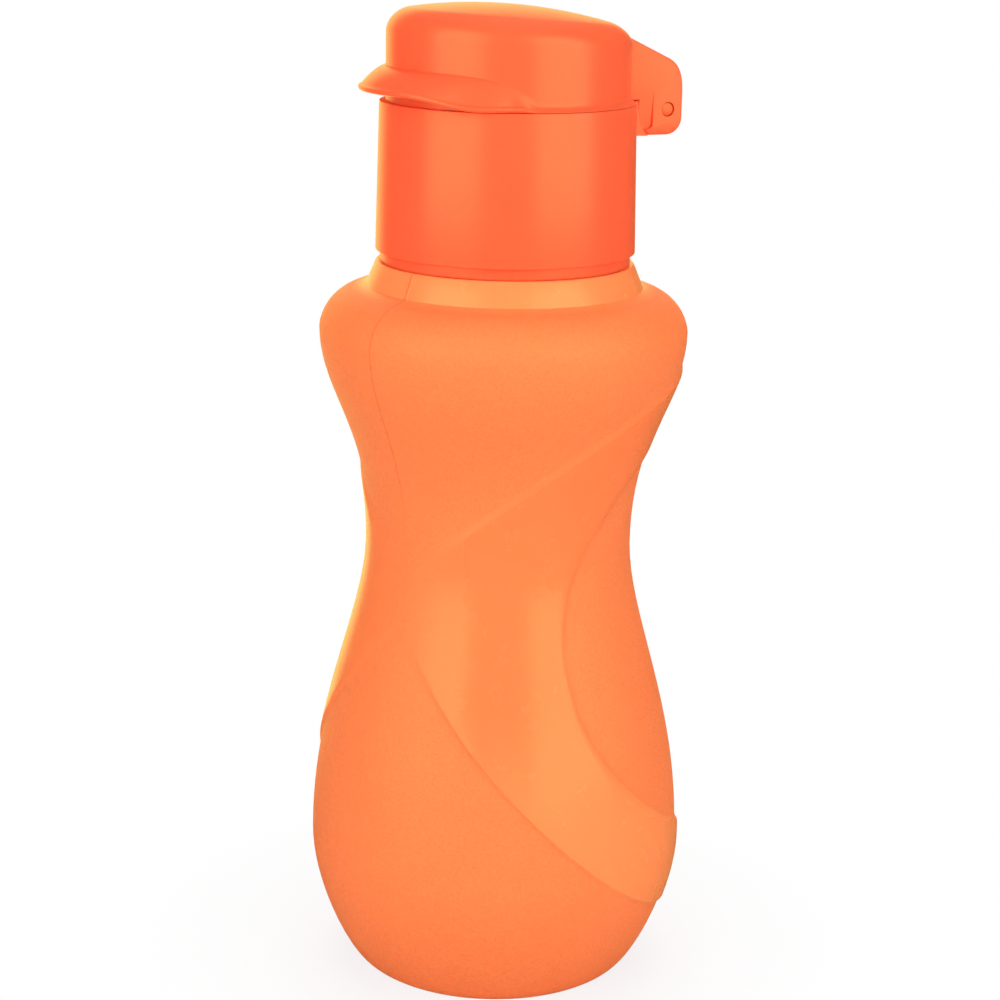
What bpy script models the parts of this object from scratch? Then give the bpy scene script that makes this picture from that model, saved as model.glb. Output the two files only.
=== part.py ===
"""Squeeze bottle with a screw cap and a flip lid. Metres, +Z up.

The bottle stands on z = 0 with its axis on Z. The brim of the lid points to -Y, its hinge to +Y.
"""
from bisect import bisect_right
from math import asin, atan2, cos, degrees, hypot, pi, radians, sin, sqrt

import bmesh
import bpy
from mathutils import Matrix, Vector
from mathutils.geometry import interpolate_bezier

# Fits
GAP = 0.0003                  # between two pieces that seat on each other
TURN_STEPS = 48               # facets round the bottle, the cap and the lid
SMALL_STEPS = 24              # facets round the pin, the studs and their holes

# Bottle: outline of the outer wall
FOOT_RADIUS = 0.0276
FOOT_INNER_RADIUS = 0.0236
PUSH_UP = 0.0024              # how far the middle of the base rises off the table
DISH_RADIUS = 0.0212          # where the base has nearly reached its middle height
DISH_RISE = 0.0019
HEEL_REACH = 0.0022           # how far the heel runs out before it turns up
HEEL_LIFT = 0.0001
HEEL_ROWS = (0.0, 0.0003, 0.0010)
HEEL_TOP = 0.0030
BELLY_RADIUS = 0.0375
BELLY_HEIGHT = 0.026
WAIST_RADIUS = 0.0263
WAIST_HEIGHT = 0.0885
SHOULDER_RADIUS = 0.0360
SHOULDER_HEIGHT = 0.1308
SHOULDER_RISE = 0.0081        # from the widest ring of the shoulder to the skirt
BELLY_HOLD = (0.43, 0.44)     # how long the wall stays upright below and above each ring,
WAIST_HOLD = (0.26, 0.54)     # as shares of the stretch between two rings
SHOULDER_HOLD = (0.30, 0.22)
SKIRT_HOLD = (0.79, 0.05)     # outwards and downwards from the foot of the skirt
WALL = 0.0013

# Bottle: conical skirt and neck under the cap
SKIRT_RADIUS = 0.0271
SKIRT_TOP_RADIUS = 0.0249
SKIRT_RISE = 0.0047
NECK_RADIUS = 0.02125
NECK_WALL = 0.0016
NECK_HEIGHT = 0.0208

# Bottle: raised ribbon that forks round the grip oval, in angles from the mould line
MOULD_LINE_ANGLE = radians(21.8)      # from -Y towards +X
RIBBON_RAISE = 0.0007
RIBBON_EDGE = 0.0014
RIBBON_TOP_FRONT = 0.0870
RIBBON_TOP_CLIMB = 0.0203             # metres for each radian
RIBBON_TOP_ROUND = 0.0015
RIBBON_TOP_LIMIT = 0.038
RIBBON_FOOT_FRONT = 0.0732
RIBBON_FOOT_FALL = 0.0394             # metres for each radian
RIBBON_FOOT_ROUND = 0.006
RIBBON_FOOT_LIMIT = 0.060
GRIP_TIP_ANGLE = radians(69.4)
GRIP_TIP_HEIGHT = 0.072
GRIP_ABOVE_TIP = 0.042
GRIP_BELOW_TIP = 0.048

# Cap gasket
GASKET_THICKNESS = 0.0012
GASKET_OVERHANG = 0.0006              # past the rim of the neck, inside and outside

# Screw cap
THREAD_ROOM = 0.0015                  # between the neck and the skirt of the cap
CAP_WALL = 0.0017
CAP_DRAFT = 0.00065                   # the cap is this much wider at its foot
CAP_HEIGHT = 0.03055
CAP_FOOT_BAND = 0.0018                # height of the stepped band at the foot
CAP_FOOT_STEP = 0.0009
CAP_EDGE = 0.0004
CAP_TOP_RIM = 0.0022                  # width of the rim that the lid closes on
DECK_THICKNESS = 0.0020
SPOUT_RADIUS = 0.0098
SPOUT_BORE_RADIUS = 0.0070
SPOUT_HEIGHT = 0.0148
SPOUT_LIP_HEIGHT = 0.0024
SPOUT_LIP = 0.0006
SPOUT_EDGE = 0.0005

# Flip lid
LID_STEP = 0.00105                    # the lid is this much smaller in radius than the cap
LID_HEIGHT = 0.01825
LID_WALL = 0.0016
LID_ROOF = 0.0018
LID_CORNER = 0.0045
LID_DOME_RADIUS = 0.0925
LID_DOME_PEAK = -0.006                # y of the highest line of the domed top
BRIM_OFFSET = 0.0056                  # the rim of the brim is a circle this far forward of the lid
BRIM_HALF_ANGLE = radians(80)
BRIM_FADE = 5.8                       # power with which the brim runs out into the sides
BRIM_ROOT_RISE = 0.0065               # where the brim leaves the wall, above the seat
BRIM_BULGE = 1.6                      # power of the curve of the upper face
BRIM_TIP = 0.0012                     # thickness at the tip
BRIM_ARCH = 0.0008                    # lift of the underside at the front, for a thumb
BRIM_ARCH_START = radians(22)
BRIM_ARCH_END = radians(52)
BRIM_SHARES = (0.0, 0.25, 0.5, 0.75, 0.93)
BRIM_ROW_STEP = 0.0002                # between the rows of the wall that make the brim
SEAL_BOSS_RADIUS = 0.0065

# Hinge
PIN_RADIUS = 0.0013
PIN_STANDOFF = 0.0071                 # from the wall of the cap to the axis of the pin
PIN_DROP = 0.00195                    # from the seat of the lid to the axis of the pin
PIN_END_GAP = 0.0002                  # the pin ends this far inside the cheeks
EAR_RADIUS = 0.00325
EAR_BELOW = 0.0049                    # how far the ears hang below the pin
EAR_REACH = 0.0064                    # the ears clear the wall of the cap as they turn
EAR_WIDTH = 0.0026
LUG_HALF_WIDTH = 0.0031
LUG_RADIUS = 0.0026
LUG_FOOT_DROP = 0.0054                # foot of the lug on the wall, below the pin
ARM_ROOT_RISE = 0.01225               # top of the arm on the lid, above the seat
ARM_SHOULDER = (0.0001, 0.0098)       # where the slope of the arm bends down, from the pin
ARM_UNDER_RISE = 0.0004               # underside of the arm, above the seat
SLOT_CLEARANCE = 0.0006               # over the round end of the lug

# Spout seal
SEAL_RADIUS = 0.0092
SEAL_THICKNESS = 0.0016
STUD_RADIUS = 0.0030
STUD_LENGTH = 0.0036

# Places that follow from the sizes above
SKIRT_FOOT = SHOULDER_HEIGHT + SHOULDER_RISE
SKIRT_TOP = SKIRT_FOOT + SKIRT_RISE
NECK_BORE_RADIUS = NECK_RADIUS - NECK_WALL
NECK_RIM = SKIRT_TOP + NECK_HEIGHT
DECK_UNDER = NECK_RIM + GAP + GASKET_THICKNESS + GAP
DECK_TOP = DECK_UNDER + DECK_THICKNESS
SPOUT_TOP = DECK_TOP + SPOUT_HEIGHT
CAP_FOOT = SKIRT_TOP + GAP
CAP_TOP = CAP_FOOT + CAP_HEIGHT
CAP_BORE_RADIUS = NECK_RADIUS + THREAD_ROOM
CAP_TOP_RADIUS = CAP_BORE_RADIUS + CAP_WALL
LID_SEAT = CAP_TOP + GAP
LID_TOP = LID_SEAT + LID_HEIGHT
LID_RADIUS = CAP_TOP_RADIUS - LID_STEP
LID_BORE_RADIUS = LID_RADIUS - LID_WALL
SEAL_FACE = SPOUT_TOP + GAP
BOSS_FOOT = SEAL_FACE + SEAL_THICKNESS + GAP
PIN_Y = CAP_TOP_RADIUS + PIN_STANDOFF
PIN_Z = LID_SEAT - PIN_DROP
EAR_INNER = LUG_HALF_WIDTH + GAP
EAR_OUTER = EAR_INNER + EAR_WIDTH


def add_material(name, color, roughness):
    """One Principled material."""
    material = bpy.data.materials.new(name)
    material.use_nodes = True
    shader = material.node_tree.nodes["Principled BSDF"]
    shader.inputs["Base Color"].default_value = (*color, 1.0)
    shader.inputs["Roughness"].default_value = roughness
    shader.inputs["Metallic"].default_value = 0.0
    return material


def add_object(name, mesh, collection, material=None):
    """An object on its mesh, shaded smooth with sharp edges kept."""
    mesh.name = name
    mesh.shade_smooth()
    mesh.set_sharp_from_angle(angle=radians(35))
    obj = bpy.data.objects.new(name, mesh)
    collection.objects.link(obj)
    if material is not None:
        mesh.materials.clear()
        mesh.materials.append(material)
    return obj


def weld(mesh):
    """Merge the vertices of a mesh that lie in one place."""
    shape = bmesh.new()
    shape.from_mesh(mesh)
    bmesh.ops.remove_doubles(shape, verts=shape.verts, dist=1e-6)
    shape.to_mesh(mesh)
    shape.free()


def as_mesh(obj):
    """The evaluated mesh of a scratch object, which is then removed."""
    bpy.context.view_layer.update()
    graph = bpy.context.evaluated_depsgraph_get()
    mesh = bpy.data.meshes.new_from_object(obj.evaluated_get(graph))
    mesh.transform(obj.matrix_world)
    bpy.data.objects.remove(obj)
    weld(mesh)
    return mesh


def turned(profile, closed, steps=TURN_STEPS):
    """Mesh of a profile of (radius, height) points turned about the axis of the bottle."""
    count = len(profile)
    edges = [(i, i + 1) for i in range(count - 1)]
    if closed:
        edges.append((count - 1, 0))
    mesh = bpy.data.meshes.new("profile")
    mesh.from_pydata([(r, 0.0, z) for r, z in profile], edges, [])
    obj = bpy.data.objects.new("profile", mesh)
    bpy.context.scene.collection.objects.link(obj)
    turn = obj.modifiers.new("turn", "SCREW")
    turn.steps = steps
    turn.render_steps = steps
    turn.use_merge_vertices = True
    turn.merge_threshold = 1e-6
    return as_mesh(obj)


def plate(outline, half_width):
    """Mesh of a closed (y, z) outline, as thick as twice half_width along X."""
    curve = bpy.data.curves.new("outline", "CURVE")
    curve.dimensions = "2D"
    curve.fill_mode = "BOTH"
    curve.extrude = half_width
    spline = curve.splines.new("POLY")
    spline.points.add(len(outline) - 1)
    for point, (y, z) in zip(spline.points, outline):
        point.co = (y, z, 0.0, 1.0)
    spline.use_cyclic_u = True
    obj = bpy.data.objects.new("outline", curve)
    obj.matrix_world = Matrix(((0, 0, 1, 0), (1, 0, 0, 0), (0, 1, 0, 0), (0, 0, 0, 1)))
    bpy.context.scene.collection.objects.link(obj)
    return as_mesh(obj)


def rod(radius, half_length, y, z, steps=SMALL_STEPS):
    """Mesh of a cylinder along X."""
    shape = bmesh.new()
    place = Matrix.Translation((0.0, y, z)) @ Matrix.Rotation(pi / 2, 4, "Y")
    bmesh.ops.create_cone(shape, cap_ends=True, segments=steps, radius1=radius, radius2=radius,
                          depth=2 * half_length, matrix=place)
    mesh = bpy.data.meshes.new("rod")
    shape.to_mesh(mesh)
    shape.free()
    return mesh


def drum(radius, low, high, steps=TURN_STEPS):
    """Mesh of an upright cylinder on the axis of the bottle."""
    shape = bmesh.new()
    place = Matrix.Translation((0.0, 0.0, (low + high) / 2))
    bmesh.ops.create_cone(shape, cap_ends=True, segments=steps, radius1=radius, radius2=radius,
                          depth=high - low, matrix=place)
    mesh = bpy.data.meshes.new("drum")
    shape.to_mesh(mesh)
    shape.free()
    return mesh


def block(low, high):
    """Mesh of a box between two corners."""
    shape = bmesh.new()
    size = [b - a for a, b in zip(low, high)]
    middle = [(a + b) / 2 for a, b in zip(low, high)]
    place = Matrix.Translation(middle) @ Matrix.Diagonal((*size, 1.0))
    bmesh.ops.create_cube(shape, size=1.0, matrix=place)
    mesh = bpy.data.meshes.new("block")
    shape.to_mesh(mesh)
    shape.free()
    return mesh


def shape_with(obj, operation, name, mesh):
    """Boolean of an object with a mesh, which stays in the collection of cutters."""
    cutter = add_object(name, mesh, cutters)
    cutter.hide_render = True
    cutter.display_type = "WIRE"
    step = obj.modifiers.new(name, "BOOLEAN")
    step.operation = operation
    step.solver = "EXACT"
    step.object = cutter


def arc(center, radius, start, end, count):
    """Points of an arc, angles in degrees."""
    angles = [radians(start + (end - start) * i / count) for i in range(count + 1)]
    return [(center[0] + radius * cos(a), center[1] + radius * sin(a)) for a in angles]


def spread(low, high, count):
    """Evenly spread values from low up to, but not including, high."""
    return [low + (high - low) * i / count for i in range(count)]


def between(value, stops, results):
    """Straight interpolation of results at rising stops."""
    index = min(max(bisect_right(stops, value), 1), len(stops) - 1)
    low, high = stops[index - 1], stops[index]
    share = (value - low) / (high - low)
    return results[index - 1] + (results[index] - results[index - 1]) * share


# Start from an empty scene
for old in list(bpy.data.objects):
    bpy.data.objects.remove(old)
bottle = bpy.data.collections.new("squeeze_bottle")
cutters = bpy.data.collections.new("cutters")
for group in (bottle, cutters):
    bpy.context.scene.collection.children.link(group)
frosted_orange = add_material("frosted_orange", (1.0, 0.24, 0.075), 0.45)
cap_orange = add_material("cap_orange", (1.0, 0.16, 0.055), 0.30)
clear_silicone = add_material("clear_silicone", (0.80, 0.78, 0.74), 0.50)


# Bottle body: outline of the outer wall from the foot to the skirt
def wall_outline():
    """Outer (height, radius) points from the foot up to the skirt, in four curved stretches."""
    foot = Vector((FOOT_RADIUS, 0.0, 0.0))
    heel = Vector((FOOT_RADIUS + HEEL_REACH, 0.0, HEEL_LIFT))
    belly = Vector((BELLY_RADIUS, 0.0, BELLY_HEIGHT))
    waist = Vector((WAIST_RADIUS, 0.0, WAIST_HEIGHT))
    shoulder = Vector((SHOULDER_RADIUS, 0.0, SHOULDER_HEIGHT))
    skirt = Vector((SKIRT_RADIUS, 0.0, SKIRT_FOOT))
    up = Vector((0.0, 0.0, 1.0))
    out = Vector((1.0, 0.0, 0.0))
    flank = WAIST_HEIGHT - BELLY_HEIGHT
    chest = SHOULDER_HEIGHT - WAIST_HEIGHT
    top_width = SHOULDER_RADIUS - SKIRT_RADIUS
    stretches = (
        (foot, heel, belly - up * BELLY_HOLD[0] * BELLY_HEIGHT, belly),
        (belly, belly + up * BELLY_HOLD[1] * flank, waist - up * WAIST_HOLD[0] * flank, waist),
        (waist, waist + up * WAIST_HOLD[1] * chest, shoulder - up * SHOULDER_HOLD[0] * chest, shoulder),
        (shoulder, shoulder + up * SHOULDER_HOLD[1] * SHOULDER_RISE,
         skirt + out * SKIRT_HOLD[0] * top_width - up * SKIRT_HOLD[1] * SHOULDER_RISE, skirt),
    )
    points = []
    for stretch in stretches:
        points.extend(interpolate_bezier(*stretch, 24)[:-1])
    points.append(skirt)
    return [p.z for p in points], [p.x for p in points]


OUTLINE_HEIGHTS, OUTLINE_RADII = wall_outline()


def wall_radius(height):
    """Outer radius of the plain wall at a height."""
    return between(height, OUTLINE_HEIGHTS, OUTLINE_RADII)


# Bottle body: edges of the ribbon
def eased(value, limit, power):
    """A value that grows as it is and then levels off at a limit."""
    return value / (1.0 + (value / limit) ** power) ** (1.0 / power)


def ribbon_stops(angle):
    """Heights of the ribbon's edges at an angle from the mould line, and how far it is raised there."""
    away = abs(angle)
    climb = hypot(RIBBON_TOP_CLIMB * away, RIBBON_TOP_ROUND) - RIBBON_TOP_ROUND
    fall = hypot(RIBBON_FOOT_FALL * away, RIBBON_FOOT_ROUND) - RIBBON_FOOT_ROUND
    top = RIBBON_TOP_FRONT + eased(climb, RIBBON_TOP_LIMIT, 8)
    foot = RIBBON_FOOT_FRONT - eased(fall, RIBBON_FOOT_LIMIT, 5)
    share = max(0.0, (away - GRIP_TIP_ANGLE) / (pi - GRIP_TIP_ANGLE))
    swell = sqrt(1.0 - (1.0 - share) ** 2)
    sunk = min(1.0, swell * GRIP_ABOVE_TIP / (2 * RIBBON_EDGE))
    before_tip = max(0.0, 1.0 - away / GRIP_TIP_ANGLE)
    middle = GRIP_TIP_HEIGHT + before_tip * ((top + foot) / 2 - GRIP_TIP_HEIGHT)
    grip_top = middle + max(RIBBON_EDGE, swell * GRIP_ABOVE_TIP)
    grip_foot = middle - max(RIBBON_EDGE, swell * GRIP_BELOW_TIP)
    half = RIBBON_EDGE / 2
    heights = [HEEL_TOP, foot - half, foot + half, grip_foot - half, grip_foot + half,
               grip_top - half, grip_top + half, top - half, top + half, SHOULDER_HEIGHT]
    raised = [0.0, 0.0, 1.0, 1.0, 1.0 - sunk, 1.0 - sunk, 1.0, 1.0, 0.0, 0.0]
    return heights, raised


REFERENCE_STOPS, _ = ribbon_stops(pi / 2)
STRETCH_ROWS = (9, 1, 3, 1, 9, 1, 3, 1, 6)


def inner_radius(height):
    """Inner radius of the bottle, one wall thickness inside the outer wall."""
    beside = wall_radius(height) - WALL
    below = wall_radius(max(height - WALL, 0.0))
    above = wall_radius(min(height + WALL, SKIRT_FOOT))
    return min(beside, below, above)


def body_profile():
    """Profile from the inner floor, up the inside, over the rim and down the outside to the foot."""
    floor = PUSH_UP + WALL
    inside = [(0.0, floor), (FOOT_INNER_RADIUS, floor)]
    inside += [(inner_radius(z), z) for z in spread(floor + WALL, BELLY_HEIGHT, 4)]
    inside += [(inner_radius(z), z) for z in spread(BELLY_HEIGHT, SHOULDER_HEIGHT, 9)]
    inside += [(inner_radius(z), z) for z in spread(SHOULDER_HEIGHT, SKIRT_FOOT - WALL, 4)]
    inside += [(SKIRT_RADIUS - WALL, SKIRT_FOOT - WALL / 2), (SKIRT_TOP_RADIUS - WALL, SKIRT_TOP - WALL),
               (NECK_BORE_RADIUS, SKIRT_TOP - WALL), (NECK_BORE_RADIUS, NECK_RIM)]
    heights = [*HEEL_ROWS]
    for low, high, rows in zip(REFERENCE_STOPS, REFERENCE_STOPS[1:], STRETCH_ROWS):
        heights += spread(low, high, rows)
    heights += spread(SHOULDER_HEIGHT, SKIRT_FOOT, 5)
    outside = [(wall_radius(z), z) for z in heights]
    outside += [(SKIRT_RADIUS, SKIRT_FOOT), (SKIRT_TOP_RADIUS, SKIRT_TOP), (NECK_RADIUS, SKIRT_TOP),
                (NECK_RADIUS, NECK_RIM)]
    foot = [(FOOT_INNER_RADIUS, 0.0), (DISH_RADIUS, DISH_RISE), (0.0, PUSH_UP)]
    return inside + outside[::-1] + foot


def raise_ribbon(mesh):
    """Carry the rows of the outer wall to the ribbon's edges and lift the ribbon off the wall."""
    for vertex in mesh.vertices:
        x, y, z = vertex.co
        on_outside = hypot(x, y) > wall_radius(z) - WALL / 2
        if not on_outside or not HEEL_TOP < z < SHOULDER_HEIGHT:
            continue
        bearing = atan2(x, -y)
        angle = (bearing - MOULD_LINE_ANGLE + pi) % (2 * pi) - pi
        stops, raised = ribbon_stops(angle)
        height = between(z, REFERENCE_STOPS, stops)
        lift = RIBBON_RAISE * between(z, REFERENCE_STOPS, raised)
        radius = wall_radius(height) + lift
        vertex.co = (radius * sin(bearing), -radius * cos(bearing), height)


body_mesh = turned(body_profile(), closed=False)
raise_ribbon(body_mesh)
add_object("bottle_body", body_mesh, bottle, frosted_orange)


# Cap gasket: flat ring between the rim of the neck and the deck of the cap
gasket_low = NECK_RIM + GAP
gasket_high = gasket_low + GASKET_THICKNESS
gasket_profile = [
    (NECK_RADIUS + GASKET_OVERHANG, gasket_high), (NECK_RADIUS + GASKET_OVERHANG, gasket_low),
    (NECK_BORE_RADIUS - GASKET_OVERHANG, gasket_low), (NECK_BORE_RADIUS - GASKET_OVERHANG, gasket_high),
]
add_object("cap_gasket", turned(gasket_profile, closed=True), bottle, clear_silicone)


# Screw cap: skirt, deck and spout in one turned profile, then the lug for the pin
cap_foot_radius = CAP_TOP_RADIUS + CAP_DRAFT
band_top = CAP_FOOT + CAP_FOOT_BAND
lip_foot = SPOUT_TOP - SPOUT_LIP_HEIGHT
cap_profile = [
    (CAP_TOP_RADIUS - CAP_EDGE, CAP_TOP), (CAP_TOP_RADIUS, CAP_TOP - CAP_EDGE),
    (cap_foot_radius, band_top + CAP_EDGE), (cap_foot_radius - CAP_EDGE, band_top),
    (cap_foot_radius - CAP_FOOT_STEP, band_top), (cap_foot_radius - CAP_FOOT_STEP, CAP_FOOT),
    (CAP_BORE_RADIUS, CAP_FOOT), (CAP_BORE_RADIUS, DECK_UNDER),
    (SPOUT_BORE_RADIUS, DECK_UNDER), (SPOUT_BORE_RADIUS, SPOUT_TOP - SPOUT_EDGE),
    (SPOUT_BORE_RADIUS + SPOUT_EDGE, SPOUT_TOP), (SPOUT_RADIUS - SPOUT_EDGE, SPOUT_TOP),
    (SPOUT_RADIUS, SPOUT_TOP - SPOUT_EDGE), (SPOUT_RADIUS, lip_foot + SPOUT_LIP),
    (SPOUT_RADIUS - SPOUT_LIP, lip_foot), (SPOUT_RADIUS, DECK_TOP),
    (CAP_TOP_RADIUS - CAP_TOP_RIM, DECK_TOP), (CAP_TOP_RADIUS - CAP_TOP_RIM, CAP_TOP),
]
cap = add_object("screw_cap", turned(cap_profile, closed=True), bottle, cap_orange)
lug_root = CAP_TOP_RADIUS - CAP_TOP_RIM / 2
lug_outline = [(lug_root, PIN_Z - LUG_FOOT_DROP), *arc((PIN_Y, PIN_Z), LUG_RADIUS, -75, 95, 10),
               (lug_root, CAP_TOP - CAP_EDGE / 2)]
shape_with(cap, "UNION", "hinge_lug", plate(lug_outline, LUG_HALF_WIDTH))
shape_with(cap, "DIFFERENCE", "lug_bore", rod(PIN_RADIUS + GAP, 2 * LUG_HALF_WIDTH, PIN_Y, PIN_Z))


# Hinge pin: carried by the lug, with its ends just inside the cheeks of the ears
pin_mesh = rod(PIN_RADIUS, EAR_OUTER - PIN_END_GAP, 0.0, 0.0)
pin = add_object("hinge_pin", pin_mesh, bottle, cap_orange)
pin.location = (0.0, PIN_Y, PIN_Z)


# Flip lid: a turned cup with a domed top, and rows of its wall drawn out into a brim
def dome_drop(x, y):
    """How far the domed top lies below its highest point."""
    return (x ** 2 + (y - LID_DOME_PEAK) ** 2) / (2 * LID_DOME_RADIUS)


def bend_roof(mesh):
    """Lower the mesh above the brim to the domed top, in step with its height."""
    for vertex in mesh.vertices:
        share = (vertex.co.z - LID_SEAT - BRIM_ROOT_RISE) / (LID_HEIGHT - BRIM_ROOT_RISE)
        vertex.co.z -= max(share, 0.0) * dome_drop(vertex.co.x, vertex.co.y)


def brim_section(bearing):
    """Reach, root height and underside height of the brim at a bearing from the front."""
    away = abs(bearing)
    fade = max(0.0, 1.0 - (away / BRIM_HALF_ANGLE) ** BRIM_FADE)
    across = BRIM_OFFSET * sin(away)
    crescent = BRIM_OFFSET * cos(away) + sqrt(LID_RADIUS ** 2 - across ** 2) - LID_RADIUS
    rise = (BRIM_ARCH_END - away) / (BRIM_ARCH_END - BRIM_ARCH_START)
    rise = min(max(rise, 0.0), 1.0)
    arch = BRIM_ARCH * rise * rise * (3.0 - 2.0 * rise)
    return crescent * fade, LID_SEAT + BRIM_ROOT_RISE * fade, LID_SEAT + arch


def brim_points(bearing):
    """Radius and height of each row of the brim, from its root over the tip to its underside."""
    reach, root, under = brim_section(bearing)
    tip = min(BRIM_TIP, root - under)
    fall = root - under - tip
    rows = [(LID_RADIUS + share * reach, root - fall * share ** BRIM_BULGE) for share in BRIM_SHARES]
    rows += [(LID_RADIUS + reach, under + tip / 2), (LID_RADIUS + BRIM_SHARES[-1] * reach, under),
             (LID_RADIUS, under)]
    return rows


def draw_out_brim(mesh, heights):
    """Move the rows of the wall that lie at the given heights to the section of the brim."""
    for vertex in mesh.vertices:
        x, y, z = vertex.co
        row = min(range(len(heights)), key=lambda i: abs(heights[i] - z))
        if abs(heights[row] - z) < BRIM_ROW_STEP / 2 and hypot(x, y) > LID_BORE_RADIUS + LID_WALL / 2:
            bearing = atan2(x, -y)
            radius, height = brim_points(bearing)[row]
            vertex.co = (radius * sin(bearing), -radius * cos(bearing), height)
    weld(mesh)


brim_count = len(brim_points(0.0))
brim_heights = [LID_SEAT + BRIM_ROW_STEP * (brim_count - i) for i in range(brim_count)]
inner_corner = LID_CORNER - LID_WALL
roof_under = LID_TOP - LID_ROOF
lid_profile = [
    (0.0, LID_TOP), (LID_RADIUS / 3, LID_TOP), (LID_RADIUS * 2 / 3, LID_TOP),
    *arc((LID_RADIUS - LID_CORNER, LID_TOP - LID_CORNER), LID_CORNER, 90, 0, 6),
    *[(LID_RADIUS, z) for z in brim_heights],
    (LID_RADIUS, LID_SEAT), (LID_BORE_RADIUS, LID_SEAT),
    *arc((LID_BORE_RADIUS - inner_corner, roof_under - inner_corner), inner_corner, 0, 90, 4),
    (LID_BORE_RADIUS / 2, roof_under), (0.0, roof_under),
]
lid_mesh = turned(lid_profile, closed=False)
draw_out_brim(lid_mesh, brim_heights)
bend_roof(lid_mesh)
hinge_axis = Vector((0.0, PIN_Y, PIN_Z))
lid_mesh.transform(Matrix.Translation(-hinge_axis))
lid = add_object("flip_lid", lid_mesh, bottle, cap_orange)
lid.location = hinge_axis

# Rear arm: one outline in side view, slotted for the lug and bored for the pin
ear_back = PIN_Y + EAR_RADIUS
ear_foot = PIN_Z - EAR_BELOW + EAR_RADIUS
foot_turn = degrees(asin(EAR_BELOW / EAR_REACH))
arm_root = LID_RADIUS - LID_WALL * 0.65
bend = Vector((PIN_Y + ARM_SHOULDER[0], PIN_Z + ARM_SHOULDER[1], 0.0))
bend_end = Vector((ear_back, PIN_Z + EAR_RADIUS, 0.0))
slope = (bend - Vector((arm_root, LID_SEAT + ARM_ROOT_RISE, 0.0))).normalized()
back_curve = interpolate_bezier(bend, bend + slope * EAR_RADIUS * 0.8,
                                bend_end + Vector((0.0, EAR_RADIUS, 0.0)), bend_end, 7)
under = LID_SEAT + ARM_UNDER_RISE
arm_outline = [
    (arm_root, LID_SEAT + ARM_ROOT_RISE), *[(p.x, p.y) for p in back_curve],
    *arc((PIN_Y, ear_foot), EAR_RADIUS, 0, -90, 6),
    *arc((PIN_Y, PIN_Z), EAR_REACH, foot_turn - 180, -180, 5),
    (PIN_Y - EAR_REACH, under), (arm_root, under),
]
slot_top = PIN_Z + LUG_RADIUS + SLOT_CLEARANCE
arm = add_object("arm_blank", plate(arm_outline, EAR_OUTER), cutters)
shape_with(arm, "DIFFERENCE", "arm_slot", block((-EAR_INNER, LID_RADIUS, PIN_Z - 2 * EAR_BELOW),
                                                (EAR_INNER, PIN_Y + 2 * EAR_BELOW, slot_top)))
shape_with(arm, "DIFFERENCE", "arm_bore", rod(PIN_RADIUS + GAP, 2 * EAR_OUTER, PIN_Y, PIN_Z))
shape_with(lid, "UNION", "hinge_arm", as_mesh(arm))

# Socket for the seal: a boss under the roof with a blind hole
boss_top = (roof_under + LID_TOP - dome_drop(0.0, SEAL_BOSS_RADIUS)) / 2
shape_with(lid, "UNION", "seal_boss", drum(SEAL_BOSS_RADIUS, BOSS_FOOT, boss_top, SMALL_STEPS))
stud_top = SEAL_FACE + SEAL_THICKNESS + STUD_LENGTH
shape_with(lid, "DIFFERENCE", "stud_socket",
           drum(STUD_RADIUS + GAP, SEAL_FACE, stud_top + GAP, SMALL_STEPS))


# Spout seal: silicone disc with a stud that is pressed into the socket of the lid
seal_back = SEAL_FACE + SEAL_THICKNESS
seal_profile = [
    (0.0, stud_top), (STUD_RADIUS, stud_top), (STUD_RADIUS, seal_back),
    (SEAL_RADIUS, seal_back), (SEAL_RADIUS, SEAL_FACE), (0.0, SEAL_FACE),
]
seal_mesh = turned(seal_profile, closed=False, steps=SMALL_STEPS)
seal_mesh.transform(Matrix.Translation(-hinge_axis))
seal = add_object("spout_seal", seal_mesh, bottle, clear_silicone)
seal.location = hinge_axis
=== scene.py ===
from bisect import bisect_right
from math import asin, atan2, cos, degrees, hypot, pi, radians, sin, sqrt

import bmesh
import bpy
from mathutils import Matrix, Vector
from mathutils.geometry import interpolate_bezier


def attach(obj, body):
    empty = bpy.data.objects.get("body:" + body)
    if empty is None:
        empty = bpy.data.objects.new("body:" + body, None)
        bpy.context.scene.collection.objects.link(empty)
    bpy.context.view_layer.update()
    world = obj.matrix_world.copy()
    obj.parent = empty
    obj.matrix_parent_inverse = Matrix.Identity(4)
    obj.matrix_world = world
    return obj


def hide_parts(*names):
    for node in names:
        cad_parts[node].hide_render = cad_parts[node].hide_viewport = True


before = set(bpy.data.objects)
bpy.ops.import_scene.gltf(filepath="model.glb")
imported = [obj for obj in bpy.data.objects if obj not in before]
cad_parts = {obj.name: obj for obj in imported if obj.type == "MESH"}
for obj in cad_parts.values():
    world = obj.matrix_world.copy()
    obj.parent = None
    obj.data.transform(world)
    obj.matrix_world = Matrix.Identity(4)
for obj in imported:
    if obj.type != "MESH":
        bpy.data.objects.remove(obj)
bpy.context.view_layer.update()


# Bottle body: a squeeze bottle blown from soft polyethylene, with a raised polished ribbon that
# forks round a sunk grip oval. The rest of the wall is finely grained, and the two halves of the
# mould leave a thin line down both sides and across the base.
wall_thickness = 0.0013
foot_radius = 0.0276
foot_inner_radius = 0.0236
push_up = 0.0024                  # height of the dished base
heel = Vector((0.0298, 0.0, 0.0001))
heel_row = 0.003                  # the rows above it follow the ribbon
belly = Vector((0.03742, 0.0, 0.026))
waist = Vector((0.02615, 0.0, 0.0885))
shoulder = Vector((0.0360, 0.0, 0.1308))
skirt_foot = Vector((0.0271, 0.0, 0.1389))
skirt_top = Vector((0.0252, 0.0, 0.1439))
neck_radius = 0.02125
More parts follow.
